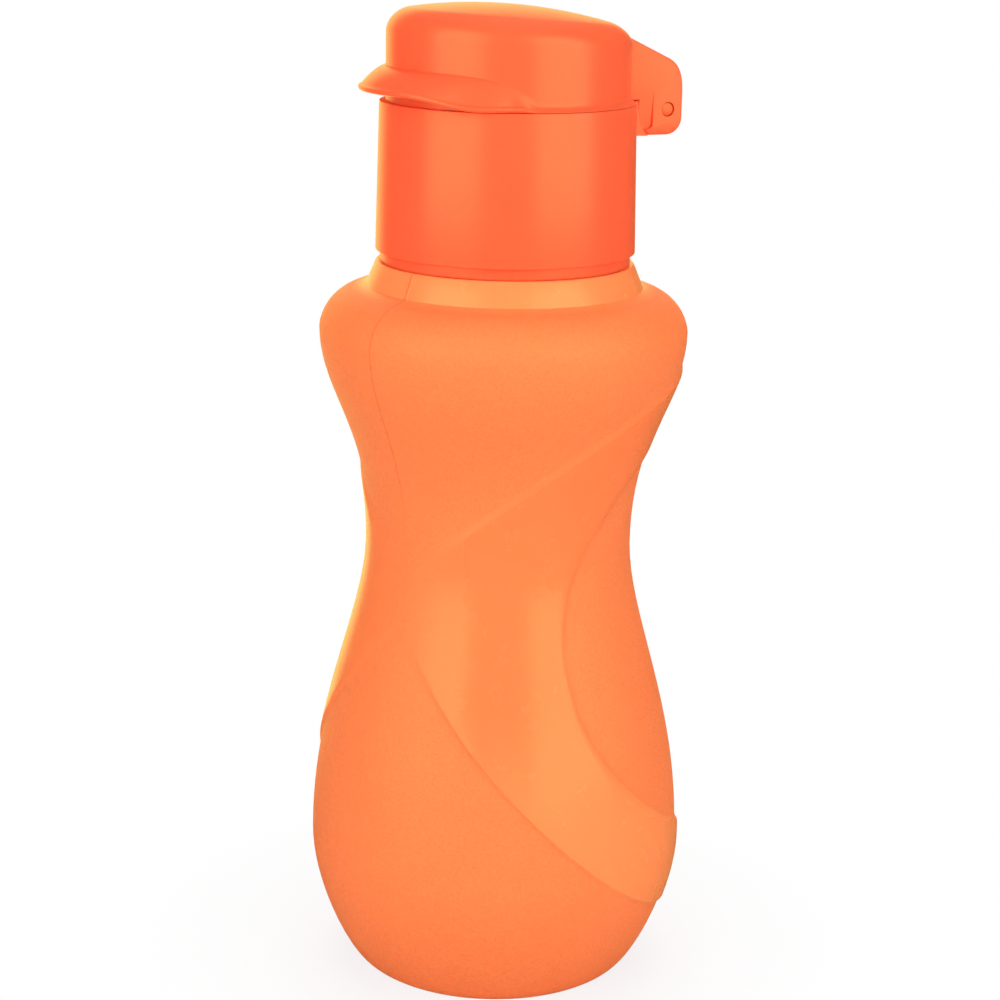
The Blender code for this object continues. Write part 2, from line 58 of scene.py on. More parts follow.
neck_bore_radius = 0.01965
neck_rim = 0.1644
neck_edge = 0.0004
skirt_edge = 0.0003
mould_line = radians(21.8)        # from -Y towards +X
mould_line_proud = 0.00010
mould_line_shade = 0.7            # on the grained wall; the skirt has all of it
mould_line_fade = 0.020           # height over which it fades out above the waist
base_line_depth = 0.0004
ribbon_raise = 0.0006
ribbon_edge = 0.0014
ribbon_bevel = 0.0024             # the upper edge is broader than the others
ribbon_fork_foot, ribbon_fork_top = 0.0732, 0.0870
ribbon_climb, ribbon_climb_limit = 0.0203, 0.038
ribbon_fall, ribbon_fall_limit = 0.0394, 0.0625
ribbon_fade_angle = radians(32.0)
edge_fade_angle = radians(38.0)
painted_highlight_top, painted_highlight_fade = 0.064, 0.030    # painted highlight: the ribbon is painted lighter from here down
grip_tip_angle = radians(69.4)
grip_tip_height = 0.072
grip_above_tip = 0.042
grip_below_tip = 0.048
thread_pitch = 0.005
thread_proud = 0.0010
thread_crest, thread_base = 0.0003, 0.0009
thread_run_out = 0.12             # of a turn
neck_thread_start, neck_thread_turns = 0.1484, 2.2
columns_round = 288
smooth_limit = radians(38.0)


def curved_outline(*stretches):
    """Rising heights and the radii there of a line of curved stretches."""
    points = []
    for stretch in stretches:
        points.extend(interpolate_bezier(*stretch, 300)[:-1])
    points.append(stretches[-1][-1])
    return [p.z for p in points], [p.x for p in points]


def between(value, stops, results):
    """Straight interpolation of results at rising stops."""
    index = min(max(bisect_right(stops, value), 1), len(stops) - 1)
    low, high = stops[index - 1], stops[index]
    share = (value - low) / (high - low)
    return results[index - 1] + (results[index] - results[index - 1]) * share


def spread(low, high, count):
    """Evenly spread values from low up to, but not including, high."""
    return [low + (high - low) * i / count for i in range(count)]


def softly(share):
    """A share from 0 to 1 that starts and ends gently."""
    share = min(max(share, 0.0), 1.0)
    return share * share * (3.0 - 2.0 * share)


def eased(value, limit, power):
    """A value that grows as it is and then levels off at a limit."""
    return value / (1.0 + (value / limit) ** power) ** (1.0 / power)


up = Vector((0.0, 0.0, 1.0))
out = Vector((1.0, 0.0, 0.0))
flank = waist.z - belly.z
chest = shoulder.z - waist.z
crown = skirt_foot.z - shoulder.z
wall_heights, wall_radii = curved_outline(
    (Vector((foot_radius, 0.0, 0.0)), heel, belly - up * 0.43 * belly.z, belly),
    (belly, belly + up * 0.44 * flank, waist - up * 0.26 * flank, waist),
    (waist, waist + up * 0.54 * chest, shoulder - up * 0.30 * chest, shoulder),
    (shoulder, shoulder + up * 0.22 * crown,
     skirt_foot + out * 0.79 * (shoulder.x - skirt_foot.x) - up * 0.05 * crown, skirt_foot),
)


def wall_radius(height):
    """Outer radius of the plain wall at a height."""
    return between(height, wall_heights, wall_radii)


def inner_radius(height):
    """Inner radius of the bottle, one wall thickness inside the outer wall."""
    beside = wall_radius(height) - wall_thickness
    below = wall_radius(max(height - wall_thickness, 0.0))
    above = wall_radius(min(height + wall_thickness, skirt_foot.z))
    return min(beside, below, above)


def ribbon_edges(angle):
    """Heights of the ribbon's foot and top at an angle from the mould line."""
    away = abs(angle)
    top_bend, foot_bend = 0.0015, 0.006
    climb = hypot(ribbon_climb * away, top_bend) - top_bend
    fall = hypot(ribbon_fall * away, foot_bend) - foot_bend
    return (ribbon_fork_foot - eased(fall, ribbon_fall_limit, 5.5),
            ribbon_fork_top + eased(climb, ribbon_climb_limit, 8))


def edge_softness(angle):
    """How much broader the ribbon's edges are at an angle, as they fade out at the mould line."""
    return 1.0 + 2.0 * softly(1.0 - abs(angle) / edge_fade_angle)


def row_stops(angle):
    """Heights where the rows of the wall gather: on both sides of each edge of the ribbon."""
    away = abs(angle)
    foot, top = ribbon_edges(angle)
    share = max(0.0, (away - grip_tip_angle) / (pi - grip_tip_angle))
    swell = sqrt(1.0 - (1.0 - share) ** 2)
    before_tip = max(0.0, 1.0 - away / grip_tip_angle)
    middle = grip_tip_height + before_tip * ((top + foot) / 2 - grip_tip_height)
    grip_top = middle + max(ribbon_edge, swell * grip_above_tip)
    grip_foot = middle - max(ribbon_edge, swell * grip_below_tip)
    half = ribbon_edge / 2
    foot_half = half * edge_softness(angle)
    top_half = ribbon_bevel / 2 * edge_softness(angle)
    return [heel_row, foot - foot_half, foot + foot_half, grip_foot - half, grip_foot + half,
            grip_top - half, grip_top + half, top - top_half, top + top_half, shoulder.z]


def ribbon_share(angle, height):
    """How far the wall is lifted towards the ribbon, from 0 on the grained wall to 1."""
    half = ribbon_edge / 2
    foot, top = ribbon_edges(angle)
    band = softly((height - foot) / (ribbon_edge * edge_softness(angle)) + 0.5)
    band *= softly((top - height) / (ribbon_bevel * edge_softness(angle)) + 0.5)
    grip_half_height = grip_above_tip if height > grip_tip_height else grip_below_tip
    grip_half_width = (pi - grip_tip_angle) * waist.x
    across = (pi - abs(angle)) / (pi - grip_tip_angle)
    along = (height - grip_tip_height) / grip_half_height
    reach = max(hypot(across, along), 0.1)
    slope = hypot(across / grip_half_width, along / grip_half_height) / reach
    outside_grip = (reach - 1.0) / max(slope, 1.0)
    band *= 0.2 + 0.8 * softly(abs(angle) / ribbon_fade_angle)
    return band * softly((outside_grip + half) / ribbon_edge)


def thread_height(turn, height, start, turns):
    """Height of a helical thread at a place, from 0 beside it to 1 on its crest."""
    lap = (height - start) / thread_pitch - turn
    nearest = round(lap)
    along = nearest + turn
    beside = abs(lap - nearest) * thread_pitch
    run_out = softly(along / thread_run_out) * softly((turns - along) / thread_run_out)
    return run_out * softly((thread_base - beside) / (thread_base - thread_crest))


def turn_profile(points, steps, closed=False):
    """A bmesh of (radius, height) points turned right round the axis of the bottle."""
    shape = bmesh.new()
    line = [shape.verts.new((r, 0.0, z)) for r, z in points]
    pairs = list(zip(line, line[1:]))
    if closed:
        pairs.append((line[-1], line[0]))
    edges = [shape.edges.new(pair) for pair in pairs]
    bmesh.ops.spin(shape, geom=line + edges, cent=(0, 0, 0), axis=(0, 0, 1), angle=2 * pi,
                   steps=steps, use_merge=True, use_duplicate=False)
    bmesh.ops.remove_doubles(shape, verts=shape.verts, dist=1e-6)
    bmesh.ops.recalc_face_normals(shape, faces=shape.faces)
    return shape


def finished_piece(name, shape, material=None):
    """An object of a bmesh, shaded smooth between its sharp edges."""
    mesh = bpy.data.meshes.new(name)
    shape.to_mesh(mesh)
    shape.free()
    if material is not None:
        mesh.materials.append(material)
    mesh.shade_smooth()
    mesh.set_sharp_from_angle(angle=smooth_limit)
    piece = bpy.data.objects.new(name, mesh)
    bpy.context.scene.collection.objects.link(piece)
    return piece


reference_stops = row_stops(pi / 2)
outside_heights = [0.0, 0.00004, 0.00012, 0.0003, 0.0006, 0.0010, 0.0015, 0.0021]
rows_between = (22, 6, 8, 6, 26, 6, 8, 6, 16)
for low, high, rows in zip(reference_stops, reference_stops[1:], rows_between):
    outside_heights += spread(low, high, rows)
outside_heights += spread(shoulder.z, skirt_foot.z, 16)
inside_floor = push_up + wall_thickness
body_profile = [(0.0, inside_floor), (foot_inner_radius, inside_floor)]
inside_heights = spread(inside_floor + wall_thickness, skirt_foot.z - wall_thickness, 40)
body_profile += [(inner_radius(z), z) for z in inside_heights]
body_profile += [(skirt_foot.x - wall_thickness, skirt_foot.z - wall_thickness / 2),
                 (skirt_top.x - wall_thickness, skirt_top.z - wall_thickness),
                 (neck_bore_radius, skirt_top.z - wall_thickness),
                 (neck_bore_radius, neck_rim - neck_edge), (neck_bore_radius + neck_edge, neck_rim),
                 (neck_radius - neck_edge, neck_rim)]
neck_heights = spread(neck_rim - neck_edge, skirt_top.z + neck_edge, 46)
body_profile += [(neck_radius, z) for z in neck_heights]
body_profile += [(neck_radius, skirt_top.z + neck_edge), (neck_radius + neck_edge, skirt_top.z),
                 (skirt_top.x - skirt_edge, skirt_top.z), (skirt_top.x, skirt_top.z - skirt_edge),
                 (skirt_foot.x - 0.0001, skirt_foot.z + skirt_edge)]
body_profile += [(wall_radius(z), z) for z in outside_heights[::-1]]
dish = ((1.0, 0.0), (0.96, 0.45), (0.88, 0.80), (0.5, 0.95), (0.0, 1.0))
body_profile += [(foot_inner_radius * across, push_up * rise) for across, rise in dish]
body_shape = turn_profile(body_profile, columns_round)
bmesh.ops.rotate(body_shape, verts=body_shape.verts, cent=(0, 0, 0),
                 matrix=Matrix.Rotation(mould_line - pi / 2, 3, "Z"))
polish_layer = body_shape.verts.layers.float.new("polish")
painted_highlight_layer = body_shape.verts.layers.float.new("painted_highlight")
seam_layer = body_shape.verts.layers.float.new("seam")
column = 2 * pi / columns_round
for vertex in body_shape.verts:
    x, y, z = vertex.co
    radius = hypot(x, y)
    bearing = atan2(x, -y)
    angle = (bearing - mould_line + pi) % (2 * pi) - pi
    from_line = angle - pi * round(angle / pi)
    on_mould_line = abs(from_line) < column / 2
    gathered = from_line * min(abs(from_line) / (4 * column), 1.0) ** 0.6
    bearing += gathered - from_line
    outer = radius > wall_radius(min(z, skirt_foot.z)) - wall_thickness / 2
    if z > skirt_top.z:
        vertex[polish_layer] = 1.0
        if radius > neck_radius - 1e-5:
            turn = (bearing % (2 * pi)) / (2 * pi)
            radius += thread_proud * thread_height(turn, z, neck_thread_start, neck_thread_turns)
    elif z >= skirt_foot.z and radius > skirt_top.x - wall_thickness / 2:
        vertex[polish_layer] = 1.0
        # painted highlight: the polished skirt is painted lighter for the light it catches
        vertex[painted_highlight_layer] = 1.0
        vertex[seam_layer] = on_mould_line
        radius += mould_line_proud * on_mould_line
    elif outer and heel_row < z < shoulder.z:
        z = between(z, reference_stops, row_stops(angle))
        lifted = ribbon_share(angle, z)
        vertex[polish_layer] = lifted
        # painted highlight: the lower ribbon is painted lighter, fading in downwards
        vertex[painted_highlight_layer] = lifted * softly((painted_highlight_top - z) / painted_highlight_fade)
        seam = mould_line_shade * softly((z - waist.z) / mould_line_fade)
        vertex[seam_layer] = on_mould_line * seam
        radius = wall_radius(z) + ribbon_raise * lifted + mould_line_proud * vertex[seam_layer]
    elif outer and z >= shoulder.z:
        vertex[seam_layer] = on_mould_line * mould_line_shade
        radius += mould_line_proud * on_mould_line
    elif z <= push_up and on_mould_line and radius < foot_inner_radius * 0.97:
        z -= base_line_depth
    vertex.co = (radius * sin(bearing), -radius * cos(bearing), z)


def finish_group():
    """Shader group of moulded plastic: cloudy colour, uneven gloss and a fine grain."""
    group = bpy.data.node_groups.new("moulded_finish", "ShaderNodeTree")
    sockets = group.interface
    sockets.new_socket("Colour", in_out="INPUT", socket_type="NodeSocketColor")
    sockets.new_socket("Roughness", in_out="INPUT", socket_type="NodeSocketFloat")
    sockets.new_socket("Grain", in_out="INPUT", socket_type="NodeSocketFloat")
    sockets.new_socket("Colour", in_out="OUTPUT", socket_type="NodeSocketColor")
    sockets.new_socket("Roughness", in_out="OUTPUT", socket_type="NodeSocketFloat")
    sockets.new_socket("Height", in_out="OUTPUT", socket_type="NodeSocketFloat")
    nodes, links = group.nodes, group.links
    given = nodes.new("NodeGroupInput")
    result = nodes.new("NodeGroupOutput")
    place = nodes.new("ShaderNodeTexCoord")

    def noise(scale, detail):
        texture = nodes.new("ShaderNodeTexNoise")
        texture.inputs["Scale"].default_value = scale
        texture.inputs["Detail"].default_value = detail
        links.new(place.outputs["Object"], texture.inputs["Vector"])
        return texture.outputs["Fac"]

    def math(operation, first, second):
        step = nodes.new("ShaderNodeMath")
        step.operation = operation
        for socket, value in zip(step.inputs, (first, second)):
            if isinstance(value, float):
                socket.default_value = value
            else:
                links.new(value, socket)
        return step.outputs["Value"]

    clouds = nodes.new("ShaderNodeHueSaturation")
    links.new(given.outputs["Colour"], clouds.inputs["Color"])
    fine = noise(1700.0, 2.0)
    strength = math("MULTIPLY", given.outputs["Grain"], 0.08)
    speckle = math("MULTIPLY", math("SUBTRACT", fine, 0.5), strength)
    cloudy = math("ADD", math("MULTIPLY", noise(45.0, 3.0), 0.06), 0.97)
    links.new(math("ADD", cloudy, speckle), clouds.inputs["Value"])
    links.new(clouds.outputs["Color"], result.inputs["Colour"])
    uneven = math("MULTIPLY", math("SUBTRACT", noise(220.0, 4.0), 0.5), 0.03)
    links.new(math("ADD", given.outputs["Roughness"], uneven), result.inputs["Roughness"])
    grains = math("MULTIPLY", fine, given.outputs["Grain"])
    ripples = math("MULTIPLY", noise(130.0, 1.0), 0.1)
    links.new(math("ADD", grains, ripples), result.inputs["Height"])
    return group


moulded_finish = finish_group()


def moulded_material(name, colour, roughness, grain, translucence):
    """A moulded plastic; the finish node is handed back too, so that a piece can vary it."""
    material = bpy.data.materials.new(name)
    material.use_nodes = True
    nodes, links = material.node_tree.nodes, material.node_tree.links
    shader = nodes["Principled BSDF"]
    finish = nodes.new("ShaderNodeGroup")
    finish.node_tree = moulded_finish
    finish.inputs["Colour"].default_value = (*colour, 1.0)
    finish.inputs["Roughness"].default_value = roughness
    finish.inputs["Grain"].default_value = grain
    bump = nodes.new("ShaderNodeBump")
    bump.inputs["Distance"].default_value = 0.00005
    links.new(finish.outputs["Colour"], shader.inputs["Base Color"])
    links.new(finish.outputs["Roughness"], shader.inputs["Roughness"])
    links.new(finish.outputs["Height"], bump.inputs["Height"])
    links.new(bump.outputs["Normal"], shader.inputs["Normal"])
    shader.inputs["Subsurface Weight"].default_value = translucence
    shader.inputs["Subsurface Radius"].default_value = (1.0, 0.35, 0.12)
    shader.inputs["Subsurface Scale"].default_value = 0.003
    shader.inputs["Specular IOR Level"].default_value = 0.55
    shader.inputs["Specular Tint"].default_value = (1.0, 0.75, 0.25, 1.0)
    return material, finish


body_orange = (0.97, 0.196, 0.060)
# painted highlight colour, used on the skirt and the lower ribbon
painted_highlight_orange = (1.0, 0.252, 0.079)
seam_orange = (0.80, 0.105, 0.028)
body_plastic, body_finish = moulded_material("grained_orange", body_orange, 0.50, 4.0, 0.3)
body_nodes, body_links = body_plastic.node_tree.nodes, body_plastic.node_tree.links


def body_mask(name):
    """Factor of one of the body's own vertex attributes."""
    mask = body_nodes.new("ShaderNodeAttribute")
    mask.attribute_name = name
    return mask.outputs["Fac"]


polish = body_mask("polish")
for socket, on_grain, on_polish in (("Roughness", 0.52, 0.27), ("Grain", 4.0, 0.05)):
    change = body_nodes.new("ShaderNodeMapRange")
    change.inputs["To Min"].default_value = on_grain
    change.inputs["To Max"].default_value = on_polish
    body_links.new(polish, change.inputs["Value"])
    body_links.new(change.outputs["Result"], body_finish.inputs[socket])
tone = None
# the first mask blends in the painted highlight, the second the darker mould line
for mask, shade in ((body_mask("painted_highlight"), painted_highlight_orange), (body_mask("seam"), seam_orange)):
    blend = body_nodes.new("ShaderNodeMix")
    blend.data_type = "RGBA"
    blend.inputs["A"].default_value = (*body_orange, 1.0)
    blend.inputs["B"].default_value = (*shade, 1.0)
    body_links.new(mask, blend.inputs["Factor"])
    if tone is not None:
        body_links.new(tone, blend.inputs["A"])
    tone = blend.outputs["Result"]
body_links.new(tone, body_finish.inputs["Colour"])
bottle = finished_piece("squeeze_body", body_shape, body_plastic)
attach(bottle, "bottle")
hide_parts("bottle_body")


# Cap gasket: a flat ring of soft silicone, punched from sheet, that lies between the rim of the
# neck and the deck of the cap. It rides up with the cap, and the cap turns on it.
def rounded(corners, segments=4):
    """Profile through (radius, height, rounding) corners, each rounded by its own amount."""
    points = []
    spots = [Vector((r, 0.0, z)) for r, z, _ in corners]
    for i, (r, z, rounding) in enumerate(corners):
        if rounding == 0.0:
            points.append((r, z))
            continue
        before = (spots[i - 1] - spots[i]).normalized() * rounding
        after = (spots[(i + 1) % len(spots)] - spots[i]).normalized() * rounding
        bend = interpolate_bezier(spots[i] + before, spots[i] + before * 0.45,
                                  spots[i] + after * 0.45, spots[i] + after, segments + 1)
        points += [(p.x, p.z) for p in bend]
    return points


gasket_low, gasket_high = 0.1647, 0.1659
gasket_radius, gasket_bore_radius = 0.02185, 0.01905
gasket_edge = 0.0002
gasket_profile = rounded([(gasket_radius, gasket_high, gasket_edge),
                          (gasket_radius, gasket_low, gasket_edge),
                          (gasket_bore_radius, gasket_low, gasket_edge),
                          (gasket_bore_radius, gasket_high, gasket_edge)])
silicone, _ = moulded_material("milky_silicone", (0.80, 0.78, 0.73), 0.48, 0.5, 0.5)
gasket = finished_piece("gasket_ring", turn_profile(gasket_profile, 128, closed=True), silicone)
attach(gasket, "gasket")
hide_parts("cap_gasket")


# Screw cap: one moulding of smooth polypropylene, with a thin stepped band at its foot, a thread
# inside, a deck with the drinking spout, and a lug at the back that is bored for the hinge pin.
cap_foot = 0.14395
cap_top = 0.1745
cap_top_radius = 0.0246
cap_foot_radius = 0.0252
cap_bore_radius = 0.02275
cap_rim_radius = 0.02225
band_top = cap_foot + 0.0021
band_radius = cap_foot_radius - 0.0009
bore_lead = 0.0004
deck_under, deck_top = 0.1662, 0.1682
deck_corner = 0.0006
spout_radius, spout_bore_radius, spout_top = 0.0098, 0.0070, 0.1830
spout_edge = 0.0006
spout_lip_foot = 0.1812
spout_neck_radius, spout_neck_top = 0.0092, 0.1806
cap_thread_start, cap_thread_turns = 0.1464, 2.3
pin_y, pin_z = 0.03155, 0.1728
pin_radius = 0.0013
pin_gap = 0.00012
lug_half_width = 0.0031
lug_radius = 0.0026
ear_inner, ear_outer = lug_half_width + 0.0003, lug_half_width + 0.0029
ear_below = 0.0049                # how far the ears go down below the pin
ear_reach = 0.0064                # from the pin to the corner that turns past the cap
foot_turn = degrees(asin(ear_below / ear_reach))
pad_reach = ear_reach + 0.00015


def arc(center, radius, start, end, count):
    """Points of an arc, angles in degrees."""
    angles = [radians(start + (end - start) * i / count) for i in range(count + 1)]
    return [(center[0] + radius * cos(a), center[1] + radius * sin(a)) for a in angles]


def plate(outline, half_width, edge, segments=3):
    """A bmesh of a (y, z) outline, swept along X, with its long edges rounded."""
    shape = bmesh.new()
    side = shape.faces.new([shape.verts.new((-half_width, y, z)) for y, z in outline])
    swept = bmesh.ops.extrude_face_region(shape, geom=[side])["geom"]
    moved = [part for part in swept if isinstance(part, bmesh.types.BMVert)]
    bmesh.ops.translate(shape, verts=moved, vec=(2 * half_width, 0.0, 0.0))
    bmesh.ops.recalc_face_normals(shape, faces=shape.faces)
    if edge > 0.0:
        rims = [e for e in shape.edges if abs(e.verts[0].co.x - e.verts[1].co.x) < 1e-9]
        bmesh.ops.bevel(shape, geom=rims, offset=edge, offset_type="OFFSET", affect="EDGES",
                        segments=segments, profile=0.5, material=-1)
    return shape


def pin_rod(radius, half_length):
    """A bmesh of a round rod on the hinge axis."""
    shape = bmesh.new()
    place = Matrix.Translation((0.0, pin_y, pin_z)) @ Matrix.Rotation(pi / 2, 4, "Y")
    bmesh.ops.create_cone(shape, cap_ends=True, segments=48, radius1=radius, radius2=radius,
                          depth=2 * half_length, matrix=place)
    return shape


def carve(piece, operation, shape):
    """Join a bmesh to a piece or cut it away."""
    tool = finished_piece("tool", shape)
    step = piece.modifiers.new("carve", "BOOLEAN")
    step.operation = operation
    step.solver = "EXACT"
    step.object = tool
    bpy.context.view_layer.update()
    shaped = piece.evaluated_get(bpy.context.evaluated_depsgraph_get())
    mesh = bpy.data.meshes.new_from_object(shaped)
    piece.modifiers.clear()
    piece.data = mesh
    mesh.shade_smooth()
    mesh.set_sharp_from_angle(angle=smooth_limit)
    bpy.data.objects.remove(tool)


cap_profile = rounded([
    (cap_rim_radius, cap_top, 0.0), (cap_top_radius, cap_top, 0.00015),
    (cap_foot_radius, band_top, 0.0003), (band_radius, band_top, 0.0),
    (band_radius, cap_foot, 0.0002), (cap_bore_radius, cap_foot, 0.0002),
    (cap_bore_radius, cap_foot + bore_lead, 0.0)])[1:-1]
bore_heights = spread(cap_foot + bore_lead, deck_under - deck_corner, 48)
cap_profile += [(cap_bore_radius, z) for z in bore_heights]
cap_profile += rounded([
    (cap_bore_radius, deck_under - deck_corner, 0.0),
    (cap_bore_radius - deck_corner, deck_under, 0.0),
    (spout_bore_radius, deck_under, 0.0005), (spout_bore_radius, spout_top, spout_edge),
    (spout_radius, spout_top, spout_edge), (spout_radius, spout_lip_foot, 0.0003),
    (spout_neck_radius, spout_neck_top, 0.0002), (spout_radius, deck_top, 0.0008),
    (cap_rim_radius, deck_top, 0.0008), (cap_rim_radius, cap_top, 0.0004),
    (cap_top_radius, cap_top, 0.0)])[:-1]
cap_shape = turn_profile(cap_profile, 192, closed=True)
for vertex in cap_shape.verts:
    x, y, z = vertex.co
    on_bore = abs(hypot(x, y) - cap_bore_radius) < 1e-6
    if on_bore and cap_foot + 0.0005 < z < deck_under - 0.0010:
        turn = (atan2(x, -y) % (2 * pi)) / (2 * pi)
        lift = thread_height(turn, z, cap_thread_start, cap_thread_turns)
        inner = cap_bore_radius - thread_proud * lift
        vertex.co = (x * inner / cap_bore_radius, y * inner / cap_bore_radius, z)
cap_plastic, _ = moulded_material("cap_orange", (0.97, 0.108, 0.041), 0.30, 0.1, 0.3)
cap = finished_piece("cap_shell", cap_shape, cap_plastic)
lug_root = cap_top_radius - 0.0011
lug_outline = [(lug_root, pin_z - 0.0054), *arc((pin_y, pin_z), lug_radius, -75, 95, 24),
               (lug_root, cap_top - 0.0002)]
carve(cap, "UNION", plate(lug_outline, lug_half_width, 0.0004))
pad_root = cap_top_radius - 0.0016
pad_top = cap_top - 0.00003
pad_outline = [(pad_root, pin_z - ear_below),
               *arc((pin_y, pin_z), pad_reach, foot_turn - 180, -180, 12),
               (pin_y - pad_reach, pad_top), (pad_root, pad_top)]
carve(cap, "UNION", plate(pad_outline, ear_outer, 0.0))
carve(cap, "DIFFERENCE", pin_rod(pin_radius + pin_gap, 0.010))
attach(cap, "cap")
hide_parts("screw_cap")


# Hinge pin: a plain moulded pin pressed through the ears and the lug from one side, with both of
# its ends chamfered and just inside the cheeks.
pin_half_length = 0.0058
pin_chamfer = 0.0003
pin_shape = pin_rod(pin_radius, pin_half_length)
ends = [e for e in pin_shape.edges if abs(e.verts[0].co.x - e.verts[1].co.x) < 1e-9]
bmesh.ops.bevel(pin_shape, geom=ends, offset=pin_chamfer, offset_type="OFFSET", affect="EDGES",
                segments=2, profile=0.5, material=-1)
pin_plastic, _ = moulded_material("pin_orange", (0.93, 0.11, 0.035), 0.30, 0.12, 0.2)
pin = finished_piece("pin_rod", pin_shape, pin_plastic)
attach(pin, "cap")
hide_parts("hinge_pin")


# Flip lid: a moulded cup whose domed top slopes down to the hinge, with a visor-like brim at the
# front to lift it by, and a rear arm that ends in two ears round the pin.
lid_radius = 0.0234
lid_wall = 0.0016
lid_seat = 0.17452
lid_top = 0.19297
lid_roof = 0.0018
lid_corner = 0.0045
dome_front = 0.006                # the dome is highest this far in front of the axis
dome_width = 0.185                # the larger, the flatter
brim_offset = 0.0056
brim_half_angle = radians(80.0)
brim_end_height = lid_seat + 0.00006
brim_root_rise = 0.0065
brim_arch = 0.0020
arch_angle, arch_fade_angle = radians(54.0), radians(32.0)
brim_tip = 0.0011
lid_flare, lid_flare_rise = 0.00105, 0.0012
lid_columns = 240
brim_top_rows, brim_tip_rows, under_rows = 14, 8, 4


def roof_bend(x, y, z):
    """Height of a point of the lid once the roof is bent to a dome."""
    share = (z - lid_seat - brim_root_rise) / (lid_top - lid_seat - brim_root_rise)
    return z - max(share, 0.0) * (x ** 2 + (y + dome_front) ** 2) / dome_width


def brim_section(away):
    """Root and underside heights, reach and fullness of the brim, which fades to a small flare."""
    fade = max(0.0, 1.0 - (away / brim_half_angle) ** 5.8)
    root = brim_end_height + max(brim_root_rise * fade, lid_flare_rise)
    under = brim_end_height + brim_arch * softly((arch_angle - away) / arch_fade_angle)
    edge = brim_offset * cos(away) + sqrt(lid_radius ** 2 - (brim_offset * sin(away)) ** 2)
    return root, under, max((edge - lid_radius) * fade, lid_flare), fade


def brim_point(row, away):
    """Radius and height of a row of the brim, from its root over the tip to the wall's foot."""
    root, under, reach, fade = brim_section(away)
    thick = min(brim_tip, (root - under) * (0.12 + 0.48 * fade))
    round_tip = min(thick / 2, reach / 2)
    if row <= brim_top_rows:
        share = row / brim_top_rows
        height = root - (root - under - thick) * share ** (0.6 + fade)
        return lid_radius + (reach - round_tip) * share, height
    row -= brim_top_rows
    if row <= brim_tip_rows:
        turn = pi * row / brim_tip_rows
        return (lid_radius + reach - round_tip + round_tip * sin(turn),
                under + thick / 2 + thick / 2 * cos(turn))
    row -= brim_tip_rows + 1
    return lid_radius, under + (brim_end_height - under) * row / under_rows


inner_corner = lid_corner - lid_wall
bore_radius = lid_radius - lid_wall
roof_under = lid_top - lid_roof
row_step = 0.0001
roof_profile = [(r, lid_top) for r in spread(0.0, lid_radius - lid_corner, 10)]
roof_profile += arc((lid_radius - lid_corner, lid_top - lid_corner), lid_corner, 90, 0, 14)
brim_rows = brim_top_rows + brim_tip_rows + under_rows + 2
wall_rows = 10
wall_profile = [(lid_radius, lid_top - lid_corner - row_step * (i + 1))
                for i in range(wall_rows + brim_rows)]
inside_profile = rounded([(lid_radius, brim_end_height, 0.0), (lid_radius, lid_seat, 0.00004),
                          (bore_radius, lid_seat, 0.0003),
                          (bore_radius, lid_seat + 0.004, 0.0)])[1:]
inside_profile += arc((bore_radius - inner_corner, roof_under - inner_corner), inner_corner,
                      0, 90, 8)
inside_profile += [(bore_radius * 0.5, roof_under), (0.0, roof_under)]
lid_shape = turn_profile(roof_profile + wall_profile + inside_profile, lid_columns)
for vertex in lid_shape.verts:
    x, y, z = vertex.co
    radius = hypot(x, y)
    away = abs(atan2(x, -y))
    row = round((lid_top - lid_corner - z) / row_step) - 1
    if abs(radius - lid_radius) < 1e-6 and 0 <= row < wall_rows + brim_rows:
        root = brim_section(away)[0]
        if row < wall_rows:
            height = roof_bend(x, y, lid_top - lid_corner)
            z = height + (root - height) * (row + 1) / (wall_rows + 1)
        else:
            reached, z = brim_point(row - wall_rows, away)
            x, y = x * reached / radius, y * reached / radius
    else:
        z = roof_bend(x, y, z)
    vertex.co = (x, y, z)
bmesh.ops.remove_doubles(lid_shape, verts=lid_shape.verts, dist=1e-7)
bmesh.ops.recalc_face_normals(lid_shape, faces=lid_shape.faces)
lid_plastic, _ = moulded_material("lid_orange", (0.97, 0.111, 0.042), 0.30, 0.1, 0.3)
lid = finished_piece("lid_shell", lid_shape, lid_plastic)

ear_radius = 0.00325
ear_foot = pin_z - ear_below + ear_radius
arm_root = lid_radius - lid_wall * 0.65
arm_root_top = lid_seat + 0.01235
arm_under = lid_seat + 0.00008
arm_bend = Vector((pin_y + 0.0001, pin_z + 0.0098, 0.0))
arm_back = Vector((pin_y + ear_radius, pin_z + ear_radius, 0.0))
arm_slope = (arm_bend - Vector((arm_root, arm_root_top, 0.0))).normalized()
back_curve = interpolate_bezier(arm_bend, arm_bend + arm_slope * ear_radius * 0.8,
                                arm_back + Vector((0.0, ear_radius, 0.0)), arm_back, 16)
arm_outline = [
    (arm_root, arm_root_top), *[(p.x, p.y) for p in back_curve],
    *arc((pin_y, ear_foot), ear_radius, 0, -90, 14),
    *arc((pin_y, pin_z), ear_reach, foot_turn - 180, -180, 12),
    (pin_y - ear_reach, arm_under), (arm_root, arm_under),
]
arm = finished_piece("arm", plate(arm_outline, ear_outer, 0.0005))
slot_shape = bmesh.new()
slot_low, slot_high = pin_z - 0.0098, pin_z + 0.0032
slot_length = 0.020
slot_place = Matrix.Translation((0.0, lid_radius + slot_length / 2, (slot_low + slot_high) / 2))
slot_size = Matrix.Diagonal((2 * ear_inner, slot_length, slot_high - slot_low, 1.0))
bmesh.ops.create_cube(slot_shape, size=1.0, matrix=slot_place @ slot_size)
carve(arm, "DIFFERENCE", slot_shape)
recess_top, recess_foot = pin_z + 0.0036, pin_z - 0.0038
recess_corner = 0.0012
recess_half_width = 0.0010
recess_tilt = radians(4.5)
recess_outline = [(pin_y - ear_radius, recess_top),
                  *arc((pin_y - ear_radius - recess_corner, recess_foot + recess_corner),
                       recess_corner, 0, -90, 6),
                  (arm_root, recess_foot), (arm_root, recess_top)]
